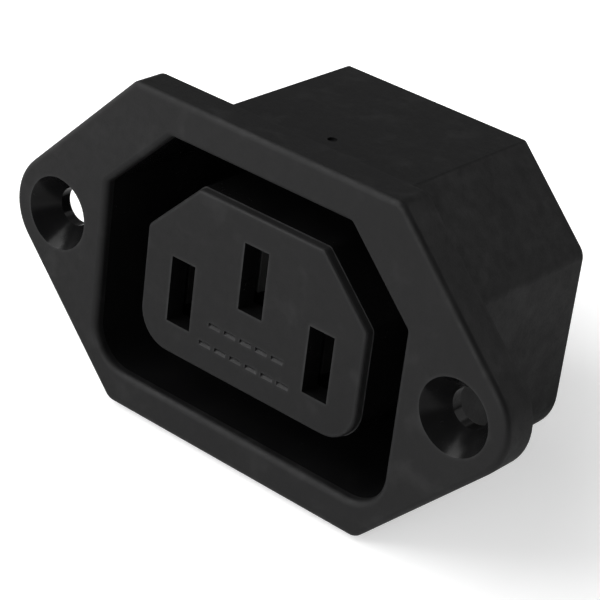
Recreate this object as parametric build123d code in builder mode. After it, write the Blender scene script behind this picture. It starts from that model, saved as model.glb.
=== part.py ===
from build123d import *
import os

os.makedirs("parts", exist_ok=True)

# Three-pole panel outlet with a flange for two countersunk screws, in millimetres.
# X runs along the flange, the earth slot is up (+Z) and the mating face looks along -Y.
# The origin lies midway between the screw holes on the flange's seating face (Y = 0).

# Flange
screw_spacing = 40.0
screw_hole_radius = 1.6
countersink_radius = 3.05
countersink_angle = 70.0
flange_thickness = 3.0
flange_height = 27.8
flange_end_radius = 4.7
flange_corner_radius = 1.2
flange_corner_spacing = 24.9
flange_edge_radius = 0.55

# Outlines of body, recess and core: tops and feet are measured from the screw line
top_radius = 0.4

# Body behind the flange
body_width = 31.6
body_top = 11.75
body_foot = 12.0
body_cut = 6.9
body_foot_radius = 4.2
body_side_radius = 1.4
body_edge_radius = 0.15
body_depth = 18.0
body_wall = 1.4
gate_mark_radius = 0.4
gate_mark_depth = 0.2
gate_mark_y = 5.3

# Recess that takes the plug's shroud
recess_width = 29.8
recess_top = 10.75
recess_foot = 10.9
recess_cut = 6.1
recess_foot_radius = 3.3
recess_side_radius = 0.4
recess_depth = 17.4
recess_edge_radius = 0.55

# Core that stands in the recess; its tip is a step smaller all round
core_width = 22.0
core_top = 7.2
core_foot = 7.5
core_cut = 4.8
core_foot_radius = 3.0
core_side_radius = 0.7
core_setback = 0.9
core_edge_radius = 0.25
core_step = 0.1
core_tip_depth = 0.75
core_front_wall = 1.8

# Pin slots and the contact chambers behind them
pin_spacing = 14.0
pin_drop = 2.0
slot_width = 2.4
slot_height = 5.6
chamber_width = 3.8
chamber_height = 6.5

# Rear plate, held by two stakes
plate_thickness = 2.0
plate_clearance = 0.1
stake_spacing = 24.4
stake_radius = 1.0
stake_head_radius = 1.7
stake_head_height = 0.5
stake_hole_clearance = 0.1

# Folded strip contacts
strip = 0.4
tab_width = 6.3
tab_length = 8.0
tab_tip = 1.0
tab_hole_radius = 0.9
tab_hole_from_end = 3.0
tab_slot_clearance = 0.1
channel_spread = 1.4
channel_front = 8.2
pinch_spread = 0.8
pinch_front = 3.4
mouth_spread = 1.3
mouth_front = 0.2
jaw_width = 4.4
shoulder_width = 6.1

# Planes and places worked out from the sizes
front_plane = Plane.XZ.offset(flange_thickness)
core_plane = Plane.XZ.offset(flange_thickness - core_setback)
plate_front_y = body_depth - plate_thickness
back_plane = Plane.XZ.offset(-body_depth)
chamber_front_y = core_setback - flange_thickness + core_front_wall
tab_end_y = body_depth + tab_length
pins = {
    "live_contact": (-pin_spacing / 2, -pin_drop),
    "neutral_contact": (pin_spacing / 2, -pin_drop),
    "earth_contact": (0, pin_drop),
}


def shroud_outline(width, top, foot, cut, foot_radius, side_radius):
    """Six-sided mating outline: two cut corners at the top, two rounded ones at the foot."""
    side = width / 2
    with BuildLine() as outline:
        FilletPolyline(
            (-side, -foot),
            (side, -foot),
            (side, top - cut),
            (side - cut, top),
            (cut - side, top),
            (-side, top - cut),
            radius=[foot_radius, foot_radius, side_radius, top_radius, top_radius, side_radius],
            close=True,
        )
    make_face(outline.edges())


def body_outline():
    shroud_outline(body_width, body_top, body_foot, body_cut, body_foot_radius, body_side_radius)


def recess_outline():
    shroud_outline(
        recess_width, recess_top, recess_foot, recess_cut, recess_foot_radius, recess_side_radius
    )


def core_tip_outline():
    shroud_outline(core_width, core_top, core_foot, core_cut, core_foot_radius, core_side_radius)


def core_outline():
    core_tip_outline()
    offset(amount=core_step, mode=Mode.REPLACE)


# Housing: flange, body, recess and core in one moulding
with BuildPart() as housing:
    with BuildSketch(Plane.XZ):
        with GridLocations(screw_spacing, 0, 2, 1):
            Circle(flange_end_radius)
        corner_rise = flange_height - 2 * flange_corner_radius
        with GridLocations(flange_corner_spacing, corner_rise, 2, 2):
            Circle(flange_corner_radius)
        make_hull()
    extrude(amount=flange_thickness)
    fillet(housing.faces().sort_by(Axis.Y)[0].edges(), flange_edge_radius)

    with BuildSketch(back_plane):
        body_outline()
    extrude(amount=body_depth)
    fillet(housing.faces().sort_by(Axis.Y)[-1].edges(), body_edge_radius)

    # Small gate mark on the body's top
    with Locations(Plane.XY.offset(body_top)):
        with Locations((0, gate_mark_y)):
            Hole(gate_mark_radius, depth=gate_mark_depth)

    # The recess is cut to its floor, then the core and its smaller tip are put back in it
    with BuildSketch(front_plane):
        recess_outline()
    extrude(amount=-recess_depth, mode=Mode.SUBTRACT)
    with BuildSketch(front_plane.offset(-recess_depth)):
        core_outline()
    extrude(amount=recess_depth - core_setback - core_tip_depth)
    with BuildSketch(core_plane.offset(-core_tip_depth)):
        core_tip_outline()
    extrude(amount=core_tip_depth)
    flange_front, core_front = housing.faces().filter_by(Axis.Y).sort_by(Axis.Y)[0:2]
    fillet(flange_front.inner_wires().edges(), recess_edge_radius)
    fillet(core_front.outer_wire().edges(), core_edge_radius)

    # Screw holes, pin slots and the chambers that hold the contacts
    with Locations(front_plane):
        with GridLocations(screw_spacing, 0, 2, 1):
            CounterSinkHole(
                screw_hole_radius,
                countersink_radius,
                depth=flange_thickness,
                counter_sink_angle=countersink_angle,
            )
    with BuildSketch(core_plane):
        with Locations(*pins.values()):
            Rectangle(slot_width, slot_height)
    extrude(amount=-core_front_wall, mode=Mode.SUBTRACT)
    with BuildSketch(back_plane):
        with Locations(*pins.values()):
            Rectangle(chamber_width, chamber_height)
    extrude(amount=body_depth - chamber_front_y, mode=Mode.SUBTRACT)

    # Pocket for the rear plate, and the two stakes that hold it
    with BuildSketch(back_plane):
        body_outline()
        offset(amount=-body_wall, mode=Mode.REPLACE)
    extrude(amount=plate_thickness, mode=Mode.SUBTRACT)
    with BuildSketch(back_plane):
        with GridLocations(stake_spacing, 0, 2, 1):
            Circle(stake_radius)
    extrude(amount=plate_thickness)
    with BuildSketch(back_plane):
        with GridLocations(stake_spacing, 0, 2, 1):
            Circle(stake_head_radius)
    extrude(amount=stake_head_height)

housing.part.label = "housing"
export_step(housing.part, "parts/housing.step")


# Rear plate: closes the contact chambers and lets the three tabs through
with BuildPart() as rear_plate:
    with BuildSketch(back_plane):
        body_outline()
        offset(amount=-body_wall - plate_clearance, mode=Mode.REPLACE)
        with Locations(*pins.values()):
            Rectangle(
                2 * (strip + tab_slot_clearance),
                tab_width + 2 * tab_slot_clearance,
                mode=Mode.SUBTRACT,
            )
    extrude(amount=plate_thickness)
    with Locations(-back_plane):
        with GridLocations(stake_spacing, 0, 2, 1):
            CounterBoreHole(
                stake_radius + stake_hole_clearance,
                stake_head_radius + stake_hole_clearance,
                counter_bore_depth=stake_head_height,
                depth=plate_thickness,
            )

rear_plate.part.label = "rear_plate"
export_step(rear_plate.part, "parts/rear_plate.step")


# Contacts: one strip each, doubled for the tab, opened into a channel and pinched into two jaws
for name, (pin_x, pin_z) in pins.items():
    plan_plane = Plane((pin_x, 0, pin_z))
    side_plane = Plane((pin_x, 0, pin_z), x_dir=(0, 1, 0), z_dir=(1, 0, 0))
    with BuildPart() as contact:
        with BuildSketch(plan_plane):
            with BuildLine():
                FilletPolyline(
                    (0, tab_end_y),
                    (0, plate_front_y - strip),
                    (channel_spread, plate_front_y - strip),
                    (channel_spread, channel_front),
                    (pinch_spread, pinch_front),
                    (mouth_spread, mouth_front),
                    radius=[0.4, 0.2, 1.5, 1.2],
                )
                offset(amount=strip, side=Side.LEFT)
            make_face()
            mirror(about=Plane.YZ)
        extrude(amount=tab_width / 2, both=True)

        # The blank's outline, seen from the side: narrow jaws, shoulder, tab with a cut tip
        with BuildSketch(side_plane):
            with BuildLine():
                Polyline(
                    (mouth_front - strip, 0),
                    (mouth_front - strip, jaw_width / 2),
                    (channel_front, jaw_width / 2),
                    (channel_front + 1, shoulder_width / 2),
                    (plate_front_y, shoulder_width / 2),
                    (plate_front_y, tab_width / 2),
                    (tab_end_y - tab_tip, tab_width / 2),
                    (tab_end_y, tab_width / 2 - tab_tip),
                    (tab_end_y, 0),
                )
                mirror(about=Plane.XZ)
            make_face()
        extrude(amount=chamber_width / 2, both=True, mode=Mode.INTERSECT)
        with Locations(side_plane):
            with Locations((tab_end_y - tab_hole_from_end, 0)):
                Hole(tab_hole_radius)

    contact.part.label = name
    export_step(contact.part, f"parts/{name}.step")
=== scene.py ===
import bpy
import math
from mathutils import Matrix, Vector


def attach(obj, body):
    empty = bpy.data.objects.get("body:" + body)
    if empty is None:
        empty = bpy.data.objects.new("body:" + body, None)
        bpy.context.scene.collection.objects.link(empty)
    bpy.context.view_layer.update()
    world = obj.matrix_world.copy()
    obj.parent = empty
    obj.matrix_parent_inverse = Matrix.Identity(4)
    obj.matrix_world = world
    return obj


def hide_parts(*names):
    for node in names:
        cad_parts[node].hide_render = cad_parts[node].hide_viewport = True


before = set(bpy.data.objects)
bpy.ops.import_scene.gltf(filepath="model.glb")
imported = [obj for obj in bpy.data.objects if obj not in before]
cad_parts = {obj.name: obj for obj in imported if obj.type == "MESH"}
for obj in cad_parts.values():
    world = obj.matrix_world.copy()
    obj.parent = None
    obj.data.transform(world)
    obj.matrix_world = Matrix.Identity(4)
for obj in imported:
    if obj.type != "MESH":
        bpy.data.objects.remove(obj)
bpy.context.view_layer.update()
print("frame loaded:", sorted(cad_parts))

mm = 0.001


def newMaterial(name):
    material = bpy.data.materials.new(name)
    material.use_nodes = True
    material.node_tree.nodes.clear()
    return material, material.node_tree


def addNode(tree, kind, inputs=None, **settings):
    node = tree.nodes.new(kind)
    for key, value in settings.items():
        setattr(node, key, value)
    for key, value in (inputs or {}).items():
        if isinstance(value, bpy.types.NodeSocket):
            tree.links.new(value, node.inputs[key])
        else:
            node.inputs[key].default_value = value
    return node


def mathNode(tree, operation, a, b=0.0):
    return addNode(tree, "ShaderNodeMath", {0: a, 1: b}, operation=operation).outputs[0]


def noise(tree, coords, size, detail=2.0, rough=0.5, distortion=0.0):
    # size is the width of one grain in metres
    node = addNode(tree, "ShaderNodeTexNoise", {
        "Vector": coords, "Scale": 1 / size, "Detail": detail, "Roughness": rough, "Distortion": distortion})
    return node.outputs["Fac"]


def mapRange(tree, value, band, low, high):
    # the value's band is stretched to run from low to high, and held there outside it
    node = addNode(tree, "ShaderNodeMapRange", {
        "Value": value, "From Min": band[0], "From Max": band[1], "To Min": low, "To Max": high})
    return node.outputs["Result"]


def mixColour(tree, factor, a, b):
    # a mix node has sockets of one name for each data type, so these go by number
    node = addNode(tree, "ShaderNodeMix", data_type="RGBA")
    for place, value in ((0, factor), (6, a), (7, b)):
        if isinstance(value, bpy.types.NodeSocket):
            tree.links.new(value, node.inputs[place])
        else:
            node.inputs[place].default_value = value
    return node.outputs[2]


def depthOf(tree, coords):
    return addNode(tree, "ShaderNodeSeparateXYZ", {"Vector": coords}).outputs["Y"]


def edgeMask(tree, radius):
    # 0 on flats, rising to 1 on edges: how far a rounded-off normal leaves the true one
    rounded = addNode(tree, "ShaderNodeBevel", {"Radius": radius}, samples=4).outputs["Normal"]
    true = addNode(tree, "ShaderNodeNewGeometry").outputs["Normal"]
    agree = addNode(tree, "ShaderNodeVectorMath", {0: rounded, 1: true}, operation="DOT_PRODUCT")
    flat, edge = 0.995, 0.86
    return mapRange(tree, agree.outputs["Value"], (flat, edge), 0.0, 1.0)


# Plastics: lengths in metres, colours as linear shares of light
# A noise hardly leaves the band from 0.3 to 0.7, so that band is taken as its full swing

noiseBand = (0.3, 0.7)

housingLook = {
    "dark": (0.0046, 0.0046, 0.0048, 1), "light": (0.0064, 0.0064, 0.0066, 1),
    "cloudSize": 5 * mm, "cloudGloss": 0.045,
    "sparkSize": 0.16 * mm, "sparkBump": 0.35, "sparkDepth": 0.02 * mm, "sparkGloss": 0.04,
    "mottleSize": 0.9 * mm, "mottleBump": 0.25, "mottleDepth": 0.03 * mm,
    "roughLow": 0.52, "roughHigh": 0.62, "specular": 0.215,
    # the edge colour and its share below are partly wear and partly a painted highlight on the edges
    "wearAndHighlightColour": (0.05, 0.05, 0.051, 1), "wearAndHighlightRadius": 0.45 * mm, "wearAndHighlightShare": 0.5, "wearPolish": 0.2,
    "wearAndHighlightPatches": (0.35, 0.65), "wearAndHighlightLeast": 0.35, "wearAndHighlightFrom": (-1.0 * mm, -0.2 * mm), "wearAndHighlightBehind": 0.2,
    "rubColour": (0.02, 0.02, 0.0203, 1), "rubSize": 2.6 * mm, "rubFrom": (0.56, 0.74), "rubShade": 0.4,
}
polishedLook = dict(
    housingLook, dark=(0.004, 0.004, 0.0042, 1), light=(0.0055, 0.0055, 0.0056, 1),
    roughLow=0.16, roughHigh=0.24, specular=0.125, sparkBump=0.12, mottleBump=0.12, wearAndHighlightShare=0.1, rubShade=0.05)
# a lighter copy of the outside plastic: painted light on the core tip's wall and ledge
paintedLightTipLook = dict(
    housingLook, dark=(0.017, 0.017, 0.0173, 1), light=(0.022, 0.022, 0.0223, 1), wearAndHighlightShare=0.1)
plateLook = dict(
    housingLook, dark=(0.010, 0.010, 0.0103, 1), light=(0.014, 0.014, 0.0142, 1),
    roughLow=0.46, roughHigh=0.6, mottleSize=1.3 * mm)


def plasticMaterial(name, look):
    material, tree = newMaterial(name)
    coords = addNode(tree, "ShaderNodeTexCoord").outputs["Object"]
    spark = noise(tree, coords, look["sparkSize"], detail=3.0, rough=0.6)
    mottle = noise(tree, coords, look["mottleSize"], detail=3.0, rough=0.55)
    cloud = noise(tree, coords, look["cloudSize"], distortion=0.4)
    rub = noise(tree, coords, look["rubSize"], rough=0.6, distortion=0.3)

    # edges are painted lighter in patches, as wear and as a painted highlight, and more on the front than behind
    # the flange
    patches = mapRange(tree, mottle, look["wearAndHighlightPatches"], look["wearAndHighlightLeast"], 1.0)
    towardFront = mapRange(tree, depthOf(tree, coords), look["wearAndHighlightFrom"], 1.0, look["wearAndHighlightBehind"])
    wearAndHighlight = mathNode(tree, "MULTIPLY", edgeMask(tree, look["wearAndHighlightRadius"]), patches)
    wearAndHighlight = mathNode(tree, "MULTIPLY", wearAndHighlight, towardFront)

    shade = mixColour(tree, mapRange(tree, cloud, noiseBand, 0.0, 1.0), look["dark"], look["light"])
    shade = mixColour(tree, mapRange(tree, rub, look["rubFrom"], 0.0, look["rubShade"]), shade, look["rubColour"])
    # painted highlight and wear: edges are mixed towards a lighter colour
    shade = mixColour(tree, mathNode(tree, "MULTIPLY", wearAndHighlight, look["wearAndHighlightShare"]), shade, look["wearAndHighlightColour"])

    gloss = mapRange(tree, mottle, noiseBand, look["roughLow"], look["roughHigh"])
    gloss = mathNode(tree, "ADD", gloss, mapRange(tree, spark, noiseBand, -look["sparkGloss"], look["sparkGloss"]))
    gloss = mathNode(tree, "ADD", gloss, mapRange(tree, cloud, noiseBand, -look["cloudGloss"], look["cloudGloss"]))
    gloss = mathNode(tree, "SUBTRACT", gloss, mathNode(tree, "MULTIPLY", wearAndHighlight, look["wearPolish"]))

    fine = addNode(tree, "ShaderNodeBump", {
        "Strength": look["sparkBump"], "Distance": look["sparkDepth"], "Height": spark})
    broad = addNode(tree, "ShaderNodeBump", {
        "Strength": look["mottleBump"], "Distance": look["mottleDepth"], "Height": mottle,
        "Normal": fine.outputs["Normal"]})
    shader = addNode(tree, "ShaderNodeBsdfPrincipled", {
        "Base Color": shade, "Roughness": gloss, "Specular IOR Level": look["specular"],
        "Normal": broad.outputs["Normal"]})
    addNode(tree, "ShaderNodeOutputMaterial", {"Surface": shader.outputs["BSDF"]})
    return material


housingPlastic = plasticMaterial("housingPlastic", housingLook)
polishedPlastic = plasticMaterial("polishedPlastic", polishedLook)
paintedLightTipPlastic = plasticMaterial("paintedLightTipPlastic", paintedLightTipLook)
platePlastic = plasticMaterial("platePlastic", plateLook)

# Contact strip: drawn along its length, bare brass on the cut edges, darkened towards the jaws as oxide and as
# painted shade

contactLook = {
    "tin": (0.72, 0.71, 0.68, 1), "dull": (0.52, 0.50, 0.46, 1), "brass": (0.72, 0.55, 0.27, 1),
    "tarnishAndShade": (0.07, 0.07, 0.069, 1), "tarnishAndShadeFrom": (3 * mm, 14 * mm),
    "lineSize": 0.12 * mm, "lineStretch": 0.08, "lineDepth": 0.01 * mm, "lineBump": 0.12,
    "stainSize": 3 * mm, "stainFrom": (0.45, 0.75), "stainGloss": 0.12,
    "edgeRadius": 0.12 * mm, "edgeBrass": 0.5, "roughLow": 0.38, "roughHigh": 0.45,
}
# the earth strip gets less of the painted darkening in its jaws than the others, so its jaw shows lighter in its
# slot
earthLook = dict(contactLook, tarnishAndShade=(0.27, 0.27, 0.265, 1))


def tinnedMaterial(name, look):
    material, tree = newMaterial(name)
    coords = addNode(tree, "ShaderNodeTexCoord").outputs["Object"]
    drawn = addNode(tree, "ShaderNodeMapping", {"Vector": coords, "Scale": (1.0, look["lineStretch"], 1.0)})
    lines = noise(tree, drawn.outputs["Vector"], look["lineSize"], detail=3.0, rough=0.6)
    stain = noise(tree, coords, look["stainSize"], detail=3.0, rough=0.6, distortion=0.5)

    shade = mixColour(tree, mapRange(tree, stain, look["stainFrom"], 0.0, 1.0), look["tin"], look["dull"])
    bare = mathNode(tree, "MULTIPLY", edgeMask(tree, look["edgeRadius"]), look["edgeBrass"])
    shade = mixColour(tree, bare, shade, look["brass"])
    # darker towards the jaws inside the housing: oxide and painted shade
    tarnishedAndShaded = mapRange(tree, depthOf(tree, coords), look["tarnishAndShadeFrom"], 1.0, 0.0)
    shade = mixColour(tree, tarnishedAndShaded, shade, look["tarnishAndShade"])

    gloss = mapRange(tree, lines, noiseBand, look["roughLow"], look["roughHigh"])
    gloss = mathNode(tree, "ADD", gloss, mapRange(tree, stain, look["stainFrom"], 0.0, look["stainGloss"]))
    bump = addNode(tree, "ShaderNodeBump", {
        "Strength": look["lineBump"], "Distance": look["lineDepth"], "Height": lines})
    shader = addNode(tree, "ShaderNodeBsdfPrincipled", {
        "Base Color": shade, "Metallic": 1.0, "Roughness": gloss, "Normal": bump.outputs["Normal"]})
    addNode(tree, "ShaderNodeOutputMaterial", {"Surface": shader.outputs["BSDF"]})
    return material


tinnedBrass = tinnedMaterial("tinnedBrass", contactLook)
earthBrass = tinnedMaterial("earthBrass", earthLook)
print("materials made:", len(bpy.data.materials))


# Shared by all pieces: a welded copy of a part's mesh, so that its flats and rounds shade cleanly

def setActive(piece):
    bpy.ops.object.select_all(action="DESELECT")
    piece.select_set(True)
    bpy.context.view_layer.objects.active = piece


def weldedCopy(nodeName, pieceName, shape):
    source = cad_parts[nodeName]
    piece = bpy.data.objects.new(pieceName, source.data.copy())
    bpy.context.scene.collection.objects.link(piece)
    setActive(piece)
    bpy.ops.object.mode_set(mode="EDIT")
    bpy.ops.mesh.select_all(action="SELECT")
    bpy.ops.mesh.remove_doubles(threshold=shape["weld"] * mm)
    bpy.ops.mesh.customdata_custom_splitnormals_clear()
    bpy.ops.mesh.dissolve_limited(angle_limit=math.radians(shape["flatAngle"]))
    bpy.ops.object.mode_set(mode="OBJECT")
    return piece


def smoothPiece(piece, angle):
    setActive(piece)
    bpy.ops.object.shade_smooth_by_angle(angle=math.radians(angle))
    even = piece.modifiers.new("evenNormals", "WEIGHTED_NORMAL")
    even.keep_sharp = True
    bpy.ops.object.modifier_apply(modifier=even.name)


# Housing: lengths in millimetres, angles in degrees

housingShape = {
    "weld": 0.001, "flatAngle": 0.6, "smoothAngle": 32,
    # rear: stake heads and the plate's pocket end in the body's back plane
    "backAt": 18.0, "stakeAt": 12.2, "stakeRadius": 1.7, "cornerAngle": 70,
    "stakeRound": 0.22, "stakeSteps": 3, "pocketRound": 0.12, "pocketSteps": 2,
    # two rows of plain grooves in the core's face: height of the row and the middle of each groove
    "grooveRows": ((-3.35, (-3.3, -1.7, -0.1, 1.5, 3.1)), (-5.2, (-4.1, -2.5, -0.9, 0.7, 2.3, 3.9))),
    "grooveLong": 1.15, "grooveDepth": 0.2, "coreFaceAt": -2.1,
    # recess, polished from the mouth's lip inwards, with cut upper corners and rounded lower ones
    "mouthAt": -2.1, "recessSide": 14.92, "recessFoot": -11.2, "recessTop": 10.85, "recessCut": 20.2,
    "footAt": (11.7, -7.8), "footRadius": 3.6,
    # core's tip: its wall and the ledge at its root get a lighter copy of the plastic, painted light
    "tipSide": 11.3, "tipFoot": -7.7, "tipTop": 7.4, "tipRoot": -1.25, "tipWallFrom": -1.95, "ledgeFrom": -1.4,
    "slotsAt": ((-7, -2), (7, -2), (0, 2)), "slotSide": 1.3, "slotRise": 2.95,
    "screwAt": 20.0, "countersink": 3.07,
    # share of a face's normal along Y: flats lie across the outlet, walls run along it
    "flatShare": 0.9, "wallShare": 0.5, "slotShare": 0.2,
}


def splitMouth(piece, shape):
    # a cut round the housing where the mouth's rounded lip turns into the polished recess
    setActive(piece)
    bpy.ops.object.mode_set(mode="EDIT")
    bpy.ops.mesh.select_all(action="SELECT")
    bpy.ops.mesh.bisect(plane_co=(0, shape["mouthAt"] * mm, 0), plane_no=(0, 1, 0))
    bpy.ops.object.mode_set(mode="OBJECT")


def selectRearCorners(piece, shape, onStakes):
    # the right-angled edges in the back plane: those of the stake heads, or else the pocket's rim
    slack, stakeSlack = 0.01, 0.03
    beside = {}
    for face in piece.data.polygons:
        for key in face.edge_keys:
            beside.setdefault(key, []).append(face.normal)
    for edge in piece.data.edges:
        ends = [piece.data.vertices[i].co / mm for i in edge.vertices]
        atBack = all(abs(p.y - shape["backAt"]) < slack for p in ends)
        fromStake = [math.hypot(abs(p.x) - shape["stakeAt"], p.z) - shape["stakeRadius"] for p in ends]
        stake = all(abs(gap) < stakeSlack for gap in fromStake)
        normals = beside.get(edge.key, [])
        corner = len(normals) == 2 and normals[0].angle(normals[1]) > math.radians(shape["cornerAngle"])
        edge.select = atBack and corner and stake == onStakes


def roundRear(piece, shape):
    rounds = ((True, shape["stakeRound"], shape["stakeSteps"]), (False, shape["pocketRound"], shape["pocketSteps"]))
    for onStakes, radius, steps in rounds:
        setActive(piece)
        bpy.ops.object.mode_set(mode="EDIT")
        bpy.ops.mesh.select_mode(type="EDGE")
        bpy.ops.mesh.select_all(action="DESELECT")
        bpy.ops.object.mode_set(mode="OBJECT")
        selectRearCorners(piece, shape, onStakes)
        bpy.ops.object.mode_set(mode="EDIT")
        bpy.ops.mesh.bevel(offset=radius * mm, segments=steps, affect="EDGES", clamp_overlap=True)
        bpy.ops.object.mode_set(mode="OBJECT")


def cutGrooves(piece, shape):
    # a cube turned by 45 degrees cuts each groove with one of its edges, and the cubes together are one cutter
    bpy.ops.object.select_all(action="DESELECT")
    bpy.ops.mesh.primitive_cube_add(size=1)
    cutter = bpy.context.object
    bpy.ops.object.mode_set(mode="EDIT")
    bpy.ops.mesh.delete(type="VERT")
    side = shape["grooveDepth"] * math.sqrt(2) * mm
    for z, middles in shape["grooveRows"]:
        for x in middles:
            bpy.ops.mesh.primitive_cube_add(
                size=1, location=(x * mm, shape["coreFaceAt"] * mm, z * mm),
                rotation=(math.radians(45), 0, 0), scale=(shape["grooveLong"] * mm, side, side))
    bpy.ops.object.mode_set(mode="OBJECT")
    setActive(piece)
    cut = piece.modifiers.new("grooves", "BOOLEAN")
    cut.operation = "DIFFERENCE"
    cut.solver = "EXACT"
    cut.object = cutter
    bpy.ops.object.modifier_apply(modifier=cut.name)
    bpy.data.objects.remove(cutter)
    print("grooves cut:", sum(len(middles) for z, middles in shape["grooveRows"]))


def finishIndex(face, shape):
    # 0 is the textured outside, 1 polished in the mould, 2 the tip's wall and ledge in a lighter copy of the
    # plastic, painted light
    x, y, z = (v / mm for v in face.center)
    along = face.normal.y
    wall = abs(along) < shape["wallShare"]
    slot = any(abs(x - slotX) < shape["slotSide"] and abs(z - slotZ) < shape["slotRise"]
               for slotX, slotZ in shape["slotsAt"])

    tip = abs(x) < shape["tipSide"] and shape["tipFoot"] < z < shape["tipTop"] and y < shape["tipRoot"]
    ledge = along < -shape["flatShare"] and y > shape["ledgeFrom"]
    if tip and y > shape["tipWallFrom"] and (wall or ledge) and not slot:
        return 2

    fromScrew = math.hypot(abs(x) - shape["screwAt"], z)
    if fromScrew < shape["countersink"] and abs(along) < shape["flatShare"]:
        return 1

    footX, footZ = max(abs(x) - shape["footAt"][0], 0), max(shape["footAt"][1] - z, 0)
    recess = (y > shape["mouthAt"] and abs(x) < shape["recessSide"] and shape["recessFoot"] < z < shape["recessTop"]
              and abs(x) + z < shape["recessCut"] and math.hypot(footX, footZ) < shape["footRadius"])
    coreFace = tip and not (slot and along > -shape["slotShare"])
    return 1 if (recess or slot) and along < shape["wallShare"] and not coreFace else 0


def makeHousing():
    piece = weldedCopy("housing", "housing_moulding", housingShape)
    splitMouth(piece, housingShape)
    roundRear(piece, housingShape)
    cutGrooves(piece, housingShape)
    smoothPiece(piece, housingShape["smoothAngle"])
    piece.data.materials.clear()
    for material in (housingPlastic, polishedPlastic, paintedLightTipPlastic):
        piece.data.materials.append(material)
    for face in piece.data.polygons:
        face.material_index = finishIndex(face, housingShape)
    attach(piece, "root")
    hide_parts("housing")
    print("housing_moulding:", len(piece.data.polygons), "faces")


makeHousing()

# Rear plate and contacts: copies with the small breaks that moulding and stamping leave on their edges

plateShape = {"weld": 0.001, "flatAngle": 0.6, "breakWide": 0.12, "steps": 2, "sharpAngle": 40, "smoothAngle": 32}
contactShape = dict(plateShape, breakWide=0.05)


def breakEdges(piece, shape):
    setActive(piece)
    broken = piece.modifiers.new("breaks", "BEVEL")
    broken.width = shape["breakWide"] * mm
    broken.segments = shape["steps"]
    broken.limit_method = "ANGLE"
    broken.angle_limit = math.radians(shape["sharpAngle"])
    bpy.ops.object.modifier_apply(modifier=broken.name)


def makeFitting(nodeName, pieceName, shape, material):
    piece = weldedCopy(nodeName, pieceName, shape)
    breakEdges(piece, shape)
    smoothPiece(piece, shape["smoothAngle"])
    piece.data.materials.clear()
    piece.data.materials.append(material)
    for face in piece.data.polygons:
        face.material_index = 0
    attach(piece, "root")
    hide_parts(nodeName)
    print(pieceName + ":", len(piece.data.polygons), "faces")


makeFitting("rear_plate", "rear_plate_moulding", plateShape, platePlastic)
makeFitting("live_contact", "live_contact_strip", contactShape, tinnedBrass)
makeFitting("neutral_contact", "neutral_contact_strip", contactShape, tinnedBrass)
makeFitting("earth_contact", "earth_contact_strip", contactShape, earthBrass)

finishes = {"housing_plastic": housingPlastic, "plate_plastic": platePlastic, "contact_metal": tinnedBrass}
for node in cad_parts.values():
    for place in node.material_slots:
        place.material = finishes[place.material.name]
print("materials set on", len(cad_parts), "nodes")

# Floor: touches the flange's lower edge and the body's lower back edge, as the outlet rests
# It glows a little for the camera, so that the ground is near white and the shadow stays soft

floorLook = {
    "size": 3.0, "colour": (0.7, 0.7, 0.7, 1),
    "fill": 0.5, "farFill": 1.0, "fillFrom": (24 * mm, 75 * mm), "reflected": 0.25, "bodyFrom": 5 * mm,
}


def restTilt(look):
    corners = [v.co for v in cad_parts["housing"].data.vertices]
    lowest = min(c.z for c in corners)
    return lowest, min(math.atan2(c.z - lowest, c.y) for c in corners if c.y > look["bodyFrom"])


def paperMaterial(look):
    material, tree = newMaterial("floorPaper")
    path = addNode(tree, "ShaderNodeLightPath").outputs
    # the fill shows in full to the camera, and only a share of it in reflections
    reflected = mathNode(tree, "MULTIPLY", path["Is Glossy Ray"], look["reflected"])
    direct = mathNode(tree, "ADD", path["Is Camera Ray"], path["Is Transmission Ray"])
    seen = mathNode(tree, "ADD", direct, reflected)
    place = addNode(tree, "ShaderNodeTexCoord").outputs["Object"]
    reach = addNode(tree, "ShaderNodeVectorMath", {0: place}, operation="LENGTH").outputs["Value"]
    glow = mapRange(tree, reach, look["fillFrom"], look["fill"], look["farFill"])
    fill = addNode(tree, "ShaderNodeEmission", {"Strength": mathNode(tree, "MULTIPLY", seen, glow)})
    paper = addNode(tree, "ShaderNodeBsdfDiffuse", {"Color": look["colour"]})
    both = addNode(tree, "ShaderNodeAddShader", {0: paper.outputs[0], 1: fill.outputs[0]})
    addNode(tree, "ShaderNodeOutputMaterial", {"Surface": both.outputs[0]})
    return material


def makeFloor():
    lowest, tilt = restTilt(floorLook)
    bpy.ops.object.select_all(action="DESELECT")
    bpy.ops.mesh.primitive_plane_add(size=floorLook["size"], location=(0, 0, lowest), rotation=(tilt, 0, 0))
    floor = bpy.context.object
    floor.name = "floor"
    floor.data.materials.append(paperMaterial(floorLook))
    print("floor tilt:", round(math.degrees(tilt), 2))


makeFloor()

# Studio: a dim surround that is lighter near the horizon, and white only where the camera looks at it

worldLook = {
    "horizon": (0.4, 0.4, 0.4, 1), "overhead": (0.035, 0.035, 0.035, 1), "fade": (0.02, 0.16),
    "backdrop": (1, 1, 1, 1), "strength": 1.0,
}


def makeWorld():
    world = bpy.data.worlds.new("studio")
    world.use_nodes = True
    tree = world.node_tree
    tree.nodes.clear()
    way = addNode(tree, "ShaderNodeTexCoord").outputs["Generated"]
    height = addNode(tree, "ShaderNodeSeparateXYZ", {"Vector": way}).outputs["Z"]
    rise = mapRange(tree, height, worldLook["fade"], 0.0, 1.0)
    colour = mixColour(tree, rise, worldLook["horizon"], worldLook["overhead"])
    seen = addNode(tree, "ShaderNodeLightPath").outputs["Is Camera Ray"]
    colour = mixColour(tree, seen, colour, worldLook["backdrop"])
    back = addNode(tree, "ShaderNodeBackground", {"Color": colour, "Strength": worldLook["strength"]})
    addNode(tree, "ShaderNodeOutputWorld", {"Surface": back.outputs[0]})
    bpy.context.scene.world = world


makeWorld()

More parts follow.
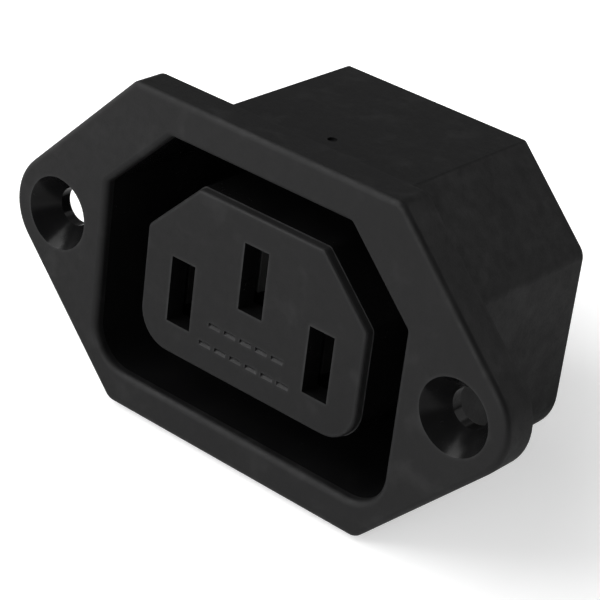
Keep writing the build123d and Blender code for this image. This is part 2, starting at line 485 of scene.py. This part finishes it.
# Softboxes: each hangs lightReach metres from the origin and faces it; radiance is its surface brightness

lightReach = 0.45
smallBox = (0.32, 0.28)
lights = {
    "keyBox": {"toward": (-0.54, -0.46, 0.70), "size": (0.46, 0.3), "radiance": 3.95},
    "lowBox": {"toward": (-0.5, -0.83, 0.22), "size": smallBox, "radiance": 2.2},
    "frontBox": {"toward": (0.2, -0.95, 0.2), "size": smallBox, "radiance": 3.6},
    "sideBox": {"toward": (-0.955, 0.05, 0.28), "size": smallBox, "radiance": 1.0},
    "backBox": {"toward": (0.5, 0.7, 0.5), "size": smallBox, "radiance": 1.25},
    "backHighBox": {"toward": (-0.06, 0.7, 0.7), "size": smallBox, "radiance": 0.3},
    "backLeftBox": {"toward": (-0.54, 0.7, 0.46), "size": smallBox, "radiance": 0.17},
}


def makeLight(name, look):
    data = bpy.data.lights.new(name, "AREA")
    data.shape = "RECTANGLE"
    data.size, data.size_y = look["size"]
    data.energy = look["radiance"] * math.pi * data.size * data.size_y
    lamp = bpy.data.objects.new(name, data)
    bpy.context.scene.collection.objects.link(lamp)
    toward = Vector(look["toward"]).normalized()
    lamp.location = toward * lightReach
    lamp.rotation_euler = toward.to_track_quat("Z", "Y").to_euler()
    lamp.visible_camera = False


for name, look in lights.items():
    makeLight(name, look)
print("lights set:", len(lights))

# Camera: as found from the photo's edges, in metres, degrees and millimetres of lens and sensor

cameraLook = {
    "place": (0.09609, -0.12119, 0.08019), "turn": (62.44, -6.465, 40.905),
    "lens": 138.1, "sensor": 36, "clip": (0.01, 20),
}


def makeCamera():
    data = bpy.data.cameras.new("photoCamera")
    data.lens = cameraLook["lens"]
    data.sensor_width = cameraLook["sensor"]
    data.clip_start, data.clip_end = cameraLook["clip"]
    camera = bpy.data.objects.new("photoCamera", data)
    camera.location = cameraLook["place"]
    camera.rotation_euler = [math.radians(a) for a in cameraLook["turn"]]
    bpy.context.scene.collection.objects.link(camera)
    bpy.context.scene.camera = camera


makeCamera()
bpy.context.scene.view_settings.view_transform = "Standard"
print("camera set")
